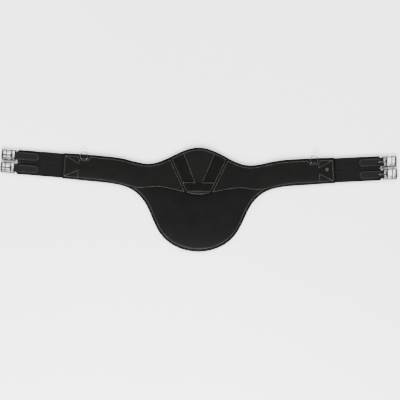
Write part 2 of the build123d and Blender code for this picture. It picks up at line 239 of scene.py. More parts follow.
def cut_at_end(path: Array, s: float = 0.0) -> Array:
    """The part of a right-hand path that lies inside the line across the arm at s."""
    return up_to(path, (path - arm(s, 0)) @ ALONG)


def distance(points: Array, path: Array) -> Array:
    """Least distance of each point from a path's samples, worked out in blocks."""
    block = 4000
    nearest = [np.linalg.norm(points[i:i + block, None] - path, axis=2).min(axis=1)
               for i in range(0, len(points), block)]
    return np.concatenate(nearest)


def ease(x: Array | float) -> Array:
    """Smooth step from 0 to 1 as x goes from 0 to 1."""
    t = np.clip(x, 0, 1)
    return t * t * (3 - 2 * t)


# ==== Meshes ==========================================================================================
def make_piece(name: str, vertices: Array, faces: Sequence[Array], side: Side = Side.RIGHT,
               uv: Array | None = None, edge_wear_and_shade: Array | None = None) -> bpy.types.Object:
    """New mesh object in the girth's frame.

    Args:
        name: The piece's name.
        vertices: Points in millimetres, shape (n, 3), of the right-hand shape.
        faces: Groups of corner indices, each of shape (m, 4) or (m, 3).
        side: Side it is for. On the left it is mirrored in X and its faces are turned.
        uv: Millimetres along and across the piece for each vertex, shape (n, 2).
        edge_wear_and_shade: Nearness to an edge or crease for each vertex, 0 to 1.

    Returns:
        The object, at the origin.
    """
    turn = 1 if side is Side.RIGHT else -1
    points = vertices * (turn * MM, MM, MM)
    mesh = bpy.data.meshes.new(name)
    mesh.from_pydata(points.tolist(), [], [face for group in faces for face in group[:, ::turn].tolist()])
    mesh.polygons.foreach_set("use_smooth", np.ones(len(mesh.polygons), dtype=bool))
    if uv is not None:
        corner = np.empty(len(mesh.loops), dtype=np.int32)
        mesh.loops.foreach_get("vertex_index", corner)
        layer = mesh.uv_layers.new(name="run")
        layer.data.foreach_set("uv", (uv[corner] * MM).astype(np.float32).ravel())
    if edge_wear_and_shade is not None:
        attribute = mesh.attributes.new("edge_wear_and_shade", "FLOAT", "POINT")
        attribute.data.foreach_set("value", edge_wear_and_shade.astype(np.float32))
    mesh.update()
    piece = bpy.data.objects.new(name, mesh)
    bpy.context.scene.collection.objects.link(piece)
    return piece


def ring_faces(columns: int, count: int) -> Array:
    """Quads of a tube: count points round each of its columns, open at both ends."""
    c = np.arange(columns - 1)[:, None]
    r = np.arange(count)[None, :]
    after = (r + 1) % count
    quads = [c * count + r, (c + 1) * count + r, (c + 1) * count + after, c * count + after]
    return np.stack(quads, axis=-1).reshape(-1, 4)


def closed_faces(columns: int, count: int) -> list[Array]:
    """Quads of a tube whose two ends are zipped shut.

    At an end, the points before and at k join those that mirror them across the section, counted
    from the last point backwards.
    """
    k = np.arange(1, count // 2)
    zipped = np.stack([k - 1, k, count - 1 - k, count - k], axis=1)
    return [ring_faces(columns, count), zipped, (zipped + (columns - 1) * count)[:, ::-1]]


def layers(*parts: Array) -> Array:
    """Arrays of the same grid, one for each coordinate, as rows of points."""
    return np.stack(np.broadcast_arrays(*parts), axis=-1).reshape(-1, len(parts))


def with_height(plan: Array, height: Array) -> Array:
    """A grid of plan points and its heights, as rows of points."""
    return layers(plan[..., 0], plan[..., 1], height)


def full_turn(count: int) -> Array:
    """Angles of count points evenly round a circle."""
    return np.linspace(0, 2 * math.pi, count + 1)[:-1]


def carried(line: Array, through: Array) -> tuple[Array, Array]:
    """Places of a section carried along a line in an upright plane.

    Args:
        line: Points (along, height) of the line.
        through: Offsets on the line's left-hand side, of shape (count) or (points, count).

    Returns:
        Along and height of each of the section's points, at each point of the line.
    """
    (along, height), (turn, lift) = line.T[..., None], -right_hand(line).T[..., None]
    return along + turn * through, height + lift * through


@dataclass
class Slab:
    """A cut piece of leather or padding, ruled between a rear and a front curve.

    Rows follow both curves at fixed distances near them and are evenly spaced between. The top is
    a height over the plan, rolled over at the piece's edge; the underside is another.
    """

    rear: Array
    front: Array
    columns: int = 120
    rows: int = 26
    edge_rows: tuple[float, ...] = (0.0, 0.15, 0.45, 0.9, 1.5, 2.4, 3.6, 5.0)
    roll: float = 1.1
    bands: tuple[float, ...] = (0.0, 0.3, 0.9, 1.6, 2.6)
    edge_band: float = 1.6
    groove_width: float = 1.3

    def plan(self) -> Array:
        """Points of the plan, shape (columns, rows, 2).

        Each column joins the same share of both curves. A row's distance from a curve is divided
        by how squarely the column meets it, so that the row runs parallel to the curve.
        """
        share = self.shares()
        a = along_path(self.rear, share * lengths(self.rear)[-1])
        b = along_path(self.front, share * lengths(self.front)[-1])
        width = np.linalg.norm(b - a, axis=1)
        span = (b - a) / width[:, None]
        square_a, square_b = self.squareness(a, span), self.squareness(b, span)
        near = np.array(self.edge_rows)
        low = near[None, :] / square_a[:, None]
        high = width[:, None] - near[None, ::-1] / square_b[:, None]
        inner = np.linspace(0, 1, self.rows + 2)[1:-1]
        middle = low[:, -1:] + (high[:, :1] - low[:, -1:]) * inner[None, :]
        rows = np.concatenate([low, middle, high], axis=1)
        rows = np.maximum.accumulate(np.clip(rows, 0, width[:, None]), axis=1)
        return a[:, None, :] + rows[:, :, None] * span[:, None, :]

    def shares(self) -> Array:
        """Shares of the curves' lengths at which columns stand, closer together near the ends."""
        total = min(lengths(self.rear)[-1], lengths(self.front)[-1])
        ends = np.array(self.bands) / total
        between = np.linspace(ends[-1], 1 - ends[-1], self.columns)[1:-1]
        return np.concatenate([ends, between, 1 - ends[::-1]])

    @staticmethod
    def squareness(curve: Array, span: Array) -> Array:
        """Sine of the angle between a curve and the columns that leave it, kept above one third."""
        step = headings(curve)
        return np.clip(np.abs(step[:, 0] * span[:, 1] - step[:, 1] * span[:, 0]), 0.34, 1)

    def boundary(self) -> Array:
        """The piece's own outline, closely sampled."""
        return even(np.vstack([self.rear, self.front[::-1], self.rear[:1]]), SAMPLE)

    def build(self, name: str, top: Height, under: Height, side: Side = Side.RIGHT,
              grooves: Sequence[Array] = (), depth: float = 0.5) -> bpy.types.Object:
        """Closed mesh of the slab.

        Args:
            name: The piece's name.
            top: Height of the upper face over plan points.
            under: Height of the underside over plan points.
            side: Side it is built for, from the right-hand shape.
            grooves: Stitch lines that pull the upper face down.
            depth: Depth of a groove.

        Returns:
            The object. Its upper face falls away within roll of the edge as a quarter circle does,
            and a groove is depth times e to the minus square of the distance over its width.
        """
        plan = self.plan()
        columns, rows = plan.shape[:2]
        points = plan.reshape(-1, 2)
        inward = distance(points, self.boundary())
        floor, z = under(points), top(points)
        for line in grooves:
            z = z - depth * np.exp(-((distance(points, even(line, SAMPLE)) / self.groove_width) ** 2))
        rolled = np.sqrt(1 - (1 - np.clip(inward / self.roll, 0, 1)) ** 2)
        crown = np.where(inward < self.roll, z - self.roll * (1 - rolled), z)
        # Edge mask: the leather is darker and duller near its edge, edge dye with painted shade of the rolled
        # edge
        edge_wear_and_shade = 1 - ease((inward - self.edge_band + 0.6) / 1.6)
        high = np.column_stack([points, np.maximum(crown, floor + CLEAR), points, edge_wear_and_shade])
        low = np.column_stack([points, floor, points, edge_wear_and_shade])
        upper, lower = (sheet.reshape(columns, rows, -1) for sheet in (high, low))
        ring = np.concatenate([upper, lower[:, ::-1]], axis=1).reshape(columns * 2 * rows, -1)
        return make_piece(name, ring[:, :3], closed_faces(columns, 2 * rows), side, ring[:, 3:5], ring[:, 5])


@dataclass
class Strip:
    """A flat strip of constant thickness, carried along a line in a plane across the arm.

    The line is given as (s, z) points and the strip's half-width may change along it. Its section
    is a rectangle with rounded edges.
    """

    line: Array
    half_width: Array
    thickness: float
    lane: float
    spacing: float
    across: int
    rounding: float = 0.75
    edge_band: float = 1.5

    def section(self, half: Array) -> tuple[Array, Array]:
        """Closed section for each half-width: offsets across the strip and through it.

        At angle a of an edge, across is the flat half plus r cos a, and through is r sin a plus,
        with the sine's sign, half the thickness less r. r is the rounding, and half the thickness at
        most. The flat faces get extra points.
        """
        r = min(self.thickness / 2, self.rounding)
        bend = np.linspace(-math.pi / 2, math.pi / 2, 7)
        lift = np.sin(bend) * r + np.sign(np.sin(bend)) * (self.thickness / 2 - r)
        between = np.linspace(-1, 1, self.across)[1:-1]
        inner = np.maximum(half - r, 0)[:, None]
        edge = np.minimum(half, r)[:, None]
        right = inner + edge * np.cos(bend)[None, :]
        top = -inner * between[None, :]
        across = np.concatenate([right, top, -right[:, ::-1], -top], axis=1)
        face = np.full(len(between), self.thickness / 2)
        return across, np.broadcast_to(np.concatenate([lift, face, lift[::-1], -face]), across.shape)

    def build(self, name: str, side: Side) -> bpy.types.Object:
        """Closed mesh of the strip, with its ends fanned from their middles."""
        run = lengths(self.line)
        at = np.linspace(0, run[-1], round(run[-1] / self.spacing) + 1)
        half = np.interp(at, run, self.half_width)
        across, through = self.section(half)
        s, z = carried(along_path(self.line, at), through)
        xy = arm(s, self.lane + across)
        body = with_height(xy, z)
        count, last = across.shape[1], len(body) - across.shape[1]
        k = np.arange(count)
        after = (k + 1) % count
        fans = [np.stack([k, after, np.full(count, len(body))], axis=1),
                np.stack([last + after, last + k, np.full(count, len(body) + 1)], axis=1)]
        middles = [body[:count].mean(axis=0), body[last:].mean(axis=0)]
        uv = np.vstack([layers(at[:, None], across), [[0, 0], [at[-1], 0]]])
        edge = np.maximum(half[:, None], 0.01) - np.abs(across)
        # Edge mask: darker and duller near the strip's edges, edge dye with painted shade of the rounded edge
        edge_wear_and_shade = np.append(np.exp(-np.clip(edge, 0, None) / self.edge_band), [1, 1])
        faces = [ring_faces(len(at), count), *fans]
        return make_piece(name, np.vstack([body, middles]), faces, side, uv, edge_wear_and_shade)


# ==== Stitching =======================================================================================
@dataclass
class Seam:
    """Rows of saddle stitches along paths on a surface."""

    pitch: float = 4.4
    length: float = 3.3
    thread: float = 0.85
    squash: float = 0.8
    slant: float = 0.10
    proud: float = 0.12
    rings: int = 5
    corners: int = 6

    def capsule(self) -> Array:
        """Points of one stitch, one unit long and one unit thick.

        At share u of its length its radius is half of the square root of one less (2u - 1) to the
        fourth, so it is full in the middle and dives at both ends.
        """
        u = np.linspace(0.02, 0.98, self.rings)[:, None]
        radius = 0.5 * np.sqrt(1 - (2 * u - 1) ** 4)
        turn = full_turn(self.corners)
        return layers(u - 0.5, radius * np.cos(turn), radius * np.sin(turn))

    def place(self, path: Array) -> tuple[Array, Array]:
        """Middles and directions of the stitches along one path of points (x, y, z)."""
        run = lengths(path)[-1]
        count = max(1, round(run / self.pitch))
        at = (np.arange(count) + 0.5) * run / count
        a, b = along_path(path, at - self.length / 2), along_path(path, at + self.length / 2)
        chord = np.maximum(np.linalg.norm(b - a, axis=1), 1e-6)[:, None]
        return (a + b) / 2, (b - a) / chord

    def build(self, name: str, paths: Sequence[Array], side: Side = Side.RIGHT,
              down: bool = False) -> bpy.types.Object:
        """One mesh of all the stitches along the paths.

        Args:
            name: The piece's name.
            paths: Paths of points (x, y, z) that lie on the surface.
            side: Side it is built for, from the right-hand shape.
            down: Whether the surface faces downwards.

        Returns:
            The object.
        """
        middle, along = (np.vstack(part) for part in zip(*(self.place(path) for path in paths)))
        across = np.cross((0, 0, -1 if down else 1), along)
        across /= np.linalg.norm(across, axis=1)[:, None]
        up = np.cross(along, across)
        along = along + self.slant * across
        length, width, height = (self.capsule() * (self.length, self.thread, self.thread * self.squash)).T
        body = (middle[:, None] + length[:, None] * along[:, None] + width[:, None] * across[:, None]
                + (height[:, None] + self.proud) * up[:, None])
        start = (np.arange(len(middle)) * len(length))[:, None, None]
        faces = (ring_faces(self.rings, self.corners) + start).reshape(-1, 4)
        return make_piece(name, body.reshape(-1, 3), [faces], side)


def on_surface(path: Array, height: Height, spacing: float = 1.5) -> Array:
    """A plan path laid on a surface."""
    dense = even(path, spacing)
    return with_height(dense, height(dense))


# ==== Finishes ========================================================================================
def srgb(hex_colour: str) -> tuple[float, float, float, float]:
    """Linear colour of an sRGB hex value.

    Args:
        hex_colour: Six hex digits with a leading hash.

    Returns:
        Red, green, blue and alpha: a channel c becomes c / 12.92 below 0.04045, else
        ((c + 0.055) / 1.055) to the power 2.4.
    """
    channels = [int(hex_colour[i:i + 2], 16) / 255 for i in (1, 3, 5)]
    red, green, blue = (c / 12.92 if c <= 0.04045 else ((c + 0.055) / 1.055) ** 2.4 for c in channels)
    return red, green, blue, 1.0


def node(tree: bpy.types.NodeTree, kind: str, settings: dict | None = None,
         **links: object) -> bpy.types.Node:
    """Add a node with its settings and its inputs.

    Args:
        tree: The material's node tree.
        kind: The node's type name, without ShaderNode.
        settings: Properties of the node, and under "stops" a colour ramp's places and hex colours.
        **links: Inputs by name, with spaces as underscores, or by i and a number. A socket is
            linked and anything else is set as the input's value.

    Returns:
        The new node.
    """
    new = tree.nodes.new("ShaderNode" + kind)
    for key, value in (settings or {}).items():
        if key != "stops":
            setattr(new, key, value)
            continue
        for element, (place, colour) in zip(new.color_ramp.elements, value, strict=True):
            element.position = place
            element.color = srgb(colour)
    for key, value in links.items():
        socket = new.inputs[int(key[1:])] if key[1:].isdigit() else new.inputs[key.replace("_", " ")]
        if isinstance(value, bpy.types.NodeSocket):
            tree.links.new(value, socket)
        else:
            socket.default_value = value
    return new


@dataclass(frozen=True)
class Finish:
    """A surface of two tones, and what every material shares."""

    name: str
    light: str
    dark: str

    def material(self) -> bpy.types.Material:
        """Build it: a Principled shader with the finish's own inputs, joined to the output."""
        material = bpy.data.materials.new(self.name)
        material.use_nodes = True
        tree = material.node_tree
        tree.nodes.clear()
        shader = node(tree, "BsdfPrincipled", None, **self.inputs(tree))
        node(tree, "OutputMaterial", None, Surface=shader.outputs["BSDF"])
        return material

    def inputs(self, tree: bpy.types.NodeTree) -> dict[str, object]:
        """The shader's inputs by name, with the nodes that they come from."""
        raise NotImplementedError

    def tones(self, low: float, high: float) -> dict[str, list[tuple[float, str]]]:
        """Settings of a ramp that is dark up to low and light from high."""
        return {"stops": [(low, self.dark), (high, self.light)]}


@dataclass(frozen=True)
class HarnessLeather(Finish):
    """Drum-dyed cowhide with a pressed grain: a low, broken sheen over a nearly black colour."""

    # Colour near the edges: edge dye with painted shade of the rolled edge
    edge: str
    roughness: float = 0.58
    grain_mm: float = 1.5
    grain: float = 0.6
    mottle_mm: float = 34.0
    crease_mm: float = 4.5
    gloss: float = 0.09

    def inputs(self, tree: bpy.types.NodeTree) -> dict[str, object]:
        """Mottled dye, darker and duller edges (edge dye with painted shade of the rolled edge), and pebbled
        grain and faint creases in the bump.
        """
        place = node(tree, "TexCoord").outputs["Object"]
        mottle = node(tree, "TexNoise", None, Vector=place, Scale=1 / (self.mottle_mm * MM), Detail=4.0,
                      Roughness=0.55)
        dye = node(tree, "ValToRGB", self.tones(0.32, 0.68), Fac=mottle.outputs["Fac"])
        pores = node(tree, "TexVoronoi", {"feature": "F1"}, Vector=place, Scale=1 / (self.grain_mm * MM),
                     Randomness=1.0)
        crease = node(tree, "TexNoise", None, Vector=place, Scale=1 / (self.crease_mm * MM), Detail=5.0,
                      Roughness=0.6)
        # The colour falls to the edge tone near the edges: edge dye, with painted shade of the rolled edge
        edge_wear_and_shade = node(tree, "Attribute", {"attribute_name": "edge_wear_and_shade"}).outputs["Fac"]
        colour = node(tree, "Mix", {"data_type": "RGBA"}, Factor=edge_wear_and_shade, i6=dye.outputs["Color"],
                      i7=srgb(self.edge))
        sheen = node(tree, "MapRange", None, Value=crease.outputs["Fac"], From_Min=0.3, From_Max=0.7,
                     To_Min=self.roughness - 0.06, To_Max=self.roughness + 0.09)
        dull = node(tree, "Math", {"operation": "MULTIPLY_ADD", "use_clamp": True}, i0=edge_wear_and_shade, i1=0.35,
                    i2=sheen.outputs["Result"])
        fine = node(tree, "Bump", None, Height=pores.outputs["Distance"], Strength=self.grain,
                    Distance=0.28 * MM)
        broad = node(tree, "Bump", None, Height=crease.outputs["Fac"], Strength=0.35, Distance=0.35 * MM,
                     Normal=fine.outputs["Normal"])
        return {"Base_Color": colour.outputs[2], "Roughness": dull.outputs["Value"],
                "Specular_IOR_Level": self.gloss, "Normal": broad.outputs["Normal"]}


@dataclass(frozen=True)
class WovenElastic(Finish):
    """Rubber-cored webbing with a polyester face: lengthwise ribs, matt and nearly black."""

    rib_mm: float = 1.9
    pick_mm: float = 1.1

    def inputs(self, tree: bpy.types.NodeTree) -> dict[str, object]:
        """Ribs across the strip and picks along it, in colour and bump."""
        run = node(tree, "UVMap", {"uv_map": "run"}).outputs["UV"]
        ribs = node(tree, "TexWave", {"bands_direction": "Y"}, Vector=run,
                    Scale=WAVE_STEP / (self.rib_mm * MM))
        picks = node(tree, "TexWave", {"bands_direction": "X"}, Vector=run,
                     Scale=WAVE_STEP / (self.pick_mm * MM), Distortion=0.6)
        fuzz = node(tree, "TexNoise", None, Vector=run, Scale=1 / (3.0 * MM), Detail=4.0)
        weave = node(tree, "Math", {"operation": "MULTIPLY"}, i0=ribs.outputs["Fac"],
                     i1=picks.outputs["Fac"])
        tone = node(tree, "Math", {"operation": "ADD"}, i0=weave.outputs["Value"], i1=fuzz.outputs["Fac"])
        colour = node(tree, "ValToRGB", self.tones(0.45, 0.96154), Fac=tone.outputs["Value"])
        first = node(tree, "Bump", None, Height=ribs.outputs["Fac"], Strength=0.6, Distance=0.3 * MM)
        second = node(tree, "Bump", None, Height=picks.outputs["Fac"], Strength=0.35, Distance=0.15 * MM,
                      Normal=first.outputs["Normal"])
        return {"Base_Color": colour.outputs["Color"], "Roughness": 0.85, "Specular_IOR_Level": 0.1,
                "Normal": second.outputs["Normal"]}


@dataclass(frozen=True)
class PlainCloth(Finish):
    """Woven nylon, matt, with a crossed thread."""

    thread_mm: float = 0.9

    def inputs(self, tree: bpy.types.NodeTree) -> dict[str, object]:
        """Two crossed sets of threads."""
        place = node(tree, "TexCoord").outputs["Object"]
        warp, weft = (node(tree, "TexWave", {"bands_direction": way}, Vector=place,
                           Scale=WAVE_STEP / (self.thread_mm * MM)).outputs["Fac"] for way in "XY")
        cross = node(tree, "Math", {"operation": "MULTIPLY"}, i0=warp, i1=weft).outputs["Value"]
        blotch = node(tree, "TexNoise", None, Vector=place, Scale=1 / (18 * MM), Detail=3.0)
        tone = node(tree, "Math", {"operation": "MULTIPLY_ADD"}, i0=cross, i1=0.5,
                    i2=blotch.outputs["Fac"])
        colour = node(tree, "ValToRGB", self.tones(0.3, 0.95), Fac=tone.outputs["Value"])
        bump = node(tree, "Bump", None, Height=cross, Strength=0.5, Distance=0.2 * MM)
        return {"Base_Color": colour.outputs["Color"], "Roughness": 0.85, "Specular_IOR_Level": 0.2,
                "Normal": bump.outputs["Normal"]}


@dataclass(frozen=True)
class WaxedThread(Finish):
    """Waxed polyester stitching thread: pale, slightly shiny and unevenly soiled."""

    def inputs(self, tree: bpy.types.NodeTree) -> dict[str, object]:
        """A soft change of tone from stitch to stitch, and the thread's ply in the bump."""
        place = node(tree, "TexCoord").outputs["Object"]
        soil = node(tree, "TexNoise", None, Vector=place, Scale=1 / (14 * MM), Detail=4.0, Roughness=0.7)
        colour = node(tree, "ValToRGB", self.tones(0.36, 0.66), Fac=soil.outputs["Fac"])
        ply = node(tree, "TexNoise", None, Vector=place, Scale=1 / (0.5 * MM), Detail=2.0)
        bump = node(tree, "Bump", None, Height=ply.outputs["Fac"], Strength=0.3, Distance=0.12 * MM)
        return {"Base_Color": colour.outputs["Color"], "Roughness": 0.65, "Specular_IOR_Level": 0.2,
                "Normal": bump.outputs["Normal"]}


@dataclass(frozen=True)
class PressedFoil(WaxedThread):
    """Grey foil pressed into leather: as dull and unevenly soiled as the waxed thread."""


@dataclass(frozen=True)
class SatinSteel(Finish):
    """Cast stainless steel, tumbled to a satin finish: soft reflections with fine scuffs."""

    roughness: float = 0.28

    def inputs(self, tree: bpy.types.NodeTree) -> dict[str, object]:
        """A metal whose roughness and tone change a little over the surface."""
        place = node(tree, "TexCoord").outputs["Object"]
        scuff = node(tree, "TexNoise", None, Vector=place, Scale=1 / (2.2 * MM), Detail=6.0,
                     Roughness=0.7).outputs["Fac"]
        colour = node(tree, "ValToRGB", self.tones(0.3, 0.7), Fac=scuff)
        spread = node(tree, "MapRange", None, Value=scuff, From_Min=0.3, From_Max=0.7,
                      To_Min=self.roughness - 0.05, To_Max=self.roughness + 0.1)
        bump = node(tree, "Bump", None, Height=scuff, Strength=0.12, Distance=0.1 * MM)
        return {"Base_Color": colour.outputs["Color"], "Metallic": 1.0,
                "Roughness": spread.outputs["Result"], "Normal": bump.outputs["Normal"]}


@dataclass(frozen=True)
class FloorPaint(Finish):
    """Matt floor paint: an even, pale tone with hardly any sheen."""

    def inputs(self, tree: bpy.types.NodeTree) -> dict[str, object]:
        """A slow change between two near whites."""
        place = node(tree, "TexCoord").outputs["Object"]
        tone = node(tree, "TexNoise", None, Vector=place, Scale=0.8, Detail=2.0)
        colour = node(tree, "ValToRGB", self.tones(0.3, 0.7), Fac=tone.outputs["Fac"])
        return {"Base_Color": colour.outputs["Color"], "Roughness": 0.9}


def made(finish: Finish) -> bpy.types.Material:
    """Field that holds a finish's material, built when Finishes is."""
    return field(default_factory=finish.material)


@dataclass
class Finishes:
    """Every finish of the girth, built once. Leathers are given as light, dark and edge; the edge tone is
    edge dye with painted shade of the rolled edge.
    """

    guard: bpy.types.Material = made(HarnessLeather("guard_hide", "#050605", "#030403", "#020202",
                                                    roughness=0.52, gloss=0.08))
    strap: bpy.types.Material = made(HarnessLeather("strap_hide", "#070806", "#040504", "#020202",
                                                    gloss=0.075))
    yoke: bpy.types.Material = made(HarnessLeather("yoke_hide", "#060605", "#030403", "#020202"))
    # A darker, less glossy copy of the hide: painted shade for the centre panel seen in the recessed windows
    # and for the yoke's cross band
    window: bpy.types.Material = made(HarnessLeather("window_hide", "#050504", "#030303", "#020202",
                                                     gloss=0.065))
    chape: bpy.types.Material = made(HarnessLeather("chape_hide", "#0b0c0a", "#070807", "#040404",
                                                    mottle_mm=16, gloss=0.1))
    binding: bpy.types.Material = made(HarnessLeather("binding_hide", "#050505", "#030303", "#020202",
                                                      roughness=0.62, gloss=0.08))
    lining: bpy.types.Material = made(HarnessLeather("lining_hide", "#121312", "#0c0d0c", "#080908",
                                                     roughness=0.65, grain_mm=0.8, gloss=0.12))
    pad_cloth: bpy.types.Material = made(PlainCloth("pad_cloth", "#080808", "#040404"))
    webbing: bpy.types.Material = made(PlainCloth("nylon_web", "#090909", "#040404", thread_mm=1.2))
    elastic: bpy.types.Material = made(WovenElastic("woven_elastic", "#060706", "#030303"))
    thread: bpy.types.Material = made(WaxedThread("waxed_thread", "#545552", "#393a37"))
    soft_thread: bpy.types.Material = made(WaxedThread("chape_thread", "#4c4d4a", "#303130"))
    steel: bpy.types.Material = made(SatinSteel("satin_steel", "#77797b", "#56585a"))
    foil: bpy.types.Material = made(PressedFoil("pressed_foil", "#2a2b29", "#1c1d1b"))


def dress(piece: bpy.types.Object, material: bpy.types.Material, body: str,
          stands_for: Sequence[str] = ()) -> bpy.types.Object:
    """Give a piece its finish, its body and the CAD nodes that it stands for.

    Args:
        piece: The new piece.
        material: Its finish.
        body: The body that it rides on.
        stands_for: CAD nodes that it replaces.

    Returns:
        The piece.
    """
    piece.data.materials.append(material)
    if stands_for:
        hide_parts(*stands_for)
    if body:
        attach(piece, body)
    log.info("%s: %d faces on %s", piece.name, len(piece.data.polygons), body or "a blend")
    return piece


# ==== The padded body ===================================================================================
@dataclass
class Padding:
    """How the padding swells the outer face, as one height over the whole plan."""

    guard_rise: float = 7.0
    strap_rise: float = 3.2
    reach: float = 17.0
    guard_reach: float = 36.0
    sewn: float = 3.0
    guard_front: tuple[float, float] = (70.0, 90.0)
    guard_flank: tuple[float, float] = (190.0, 70.0)
    ring_v: float = 30.0
    ring_flat: tuple[float, float] = (17.0, 20.0)
    ring_oval: float = 0.9
    end_flat: tuple[float, float] = (340.0, 60.0)
    end_fall: float = 0.6
    wave_share: float = 0.8
    cell: float = 2.5
    low: tuple[float, float] = (-430.0, -165.0)
    high: tuple[float, float] = (430.0, 165.0)
    table: Array = field(init=False)

    def __post_init__(self) -> None:
        """Work the swell out on a square grid, to be read by interpolation."""
        x = np.arange(self.low[0], self.high[0] + self.cell, self.cell)
        y = np.arange(self.low[1], self.high[1] + self.cell, self.cell)
        plan = np.stack(np.meshgrid(x, y, indexing="ij"), axis=-1).reshape(-1, 2)
        rim = np.vstack([both_halves(front_edge()), both_halves(rear_edge())])
        self.table = self.swell(plan, distance(plan, rim)).reshape(len(x), len(y))

    def swell(self, plan: Array, inward: Array) -> Array:
        """Rise over the flat deck.

        The rise is its full value times one less the exponential of minus the distance from the
        rim over the reach. It is fuller in the guard, none at the rings and less towards the arms'
        ends, where the elastics are sewn flat, and slow waves keep it from looking machined. Each
        pair of fields says where such a change starts and how far it takes.
        """
        x, y = np.abs(plan[:, 0]), plan[:, 1]
        (front, over), (flank, across) = self.guard_front, self.guard_flank
        guard = ease((front - y) / over) * ease((flank - x) / across)
        full = self.strap_rise + (self.guard_rise - self.strap_rise) * guard
        flat_x, flat_y = arm(RING_S, self.ring_v)
        from_ring = np.hypot(x - flat_x, (y - flat_y) * self.ring_oval)
        ring = ease((from_ring - self.ring_flat[0]) / self.ring_flat[1])
        end = 1 - self.end_fall * ease((x - self.end_flat[0]) / self.end_flat[1])
        wave = (0.30 * np.sin(plan[:, 0] / 21 + 1.3) * np.sin(y / 17 + 0.4)
                + 0.22 * np.sin(plan[:, 0] / 11.3 + y / 19 + 2.1) + 0.16 * np.sin(plan[:, 0] / 33 - y / 8.5))
        reach = self.reach + (self.guard_reach - self.reach) * guard
        spread = 1 - np.exp(-np.clip(inward - self.sewn, 0, None) / reach)
        return np.clip((full * end + self.wave_share * wave) * spread * ring, 0, None)

    def rise(self, plan: Array) -> Array:
        """The swell at plan points, by bilinear interpolation in the table."""
        cells = (plan - np.array(self.low)) / self.cell
        base = np.clip(np.floor(cells).astype(int), 0, np.array(self.table.shape) - 2)
        (i, j), (f, g), t = base.T, np.clip(cells - base, 0, 1).T, self.table
        return ((1 - f) * ((1 - g) * t[i, j] + g * t[i, j + 1])
                + f * ((1 - g) * t[i + 1, j] + g * t[i + 1, j + 1]))

    def level(self, over: float) -> Height:
        """Height function that lies over the padding by a constant."""
        return lambda plan: DECK + over + self.rise(plan)


def flat(height: float) -> Height:
    """Height function of a level plane."""
    return lambda plan: np.full(len(plan), height)


def raised(height: Height, lift: float) -> Height:
    """A height function lifted by a constant."""
    return lambda plan: height(plan) + lift


@dataclass
class Rims:
    """Lining and rolled binding, which close the girth from below and round its edge."""

    lining_inset: float = 4.0
    lining_swell: float = 0.3
    lining_foot: float = 0.12
    spacing: float = 2.5
    section: tuple[tuple[float, float], ...] = (
        (6.8, 7.35), (5.2, 7.62), (3.6, 7.6), (2.0, 7.2), (0.7, 6.4), (-0.3, 5.3), (-0.7, 4.0),
        (-0.5, 2.7), (0.2, 1.5), (1.2, 0.7), (2.6, 0.25), (4.2, 0.08), (6.5, 0.08), (6.5, 1.2),
        (3.6, 1.4), (2.0, 2.8), (1.7, 4.2), (2.3, 5.6), (3.8, 6.5), (6.8, 6.7))

    def binding(self, name: str, edge: Array) -> bpy.types.Object:
        """One length of binding: a C-shaped section carried along the outline.

        The section is given as distance in from the rim and height, outer face first, and each
        point of the rim carries it along its own normal.
        """
        rim = even(edge, self.spacing)
        inward, height = np.array(self.section).T
        xy = rim[:, None] + right_hand(rim)[:, None] * inward[:, None]
        vertices = with_height(xy, height)
        uv = layers(lengths(rim)[:, None], inward)
        return make_piece(name, vertices, closed_faces(len(rim), len(inward)), uv=uv,
                          edge_wear_and_shade=np.zeros(len(vertices)))

    def build(self, finishes: Finishes) -> None:
        """Build the lining and both lengths of binding."""
        for word, edge in (("front", both_halves(front_edge())), ("rear", both_halves(rear_edge())[::-1])):
            dress(self.binding(f"binding_{word}", edge), finishes.binding, GIRTH,
                  [f"{word}_edge_binding"])
        slab = Slab(both_halves(rear_edge(self.lining_inset)), both_halves(front_edge(self.lining_inset)),
                    columns=220, rows=26, edge_rows=(0.0, 1.0, 3.0), roll=0.3)
        lining = slab.build("lining_sheet", flat(LINING + self.lining_swell), flat(self.lining_foot))
        dress(lining, finishes.lining, GIRTH, ["lining"])


@dataclass
class Guard:
    """The belly guard: a stuffed round panel with its own row of stitching."""

    padding: Padding
    inset: float = 5.0
    stitch_inset: float = 8.2
    stitch_short: float = 8.0
    tuck: float = 11.0
    reach_x: float = 212.0
    depth: float = 2.0
    groove: float = 0.7
    sunk: float = 0.5

    def build(self, finishes: Finishes) -> None:
        """Build the guard's leather and its stitching."""
        rear = self.within(rear_edge(self.inset), self.reach_x)
        top = self.within(wave_edge(self.tuck), self.reach_x - 2)
        slab = Slab(both_halves(rear), both_halves(top), columns=250, rows=60, roll=1.6, edge_band=2.6,
                    edge_rows=(0.0, 0.2, 0.6, 1.2, 2.0, 2.8, 3.5, 4.2, 5.2, 6.6))
        stitch = both_halves(self.within(rear_edge(self.stitch_inset), self.reach_x - self.stitch_short))
        surface = self.padding.level(0.0)
        leather = slab.build("guard_panel", surface, flat(DECK - self.depth), grooves=[stitch],
                             depth=self.groove)
        dress(leather, finishes.guard, GIRTH, ["guard_leather", "guard_foam"])
        line = on_surface(stitch, raised(surface, -self.sunk))
        seam = Seam(thread=1.0, length=3.5).build("guard_stitching", [line])
        dress(seam, finishes.thread, GIRTH)

    @staticmethod
    def within(path: Array, x: float) -> Array:
        """The part of a right-hand path nearer to the middle than x."""
        return path[path[:, 0] <= x]


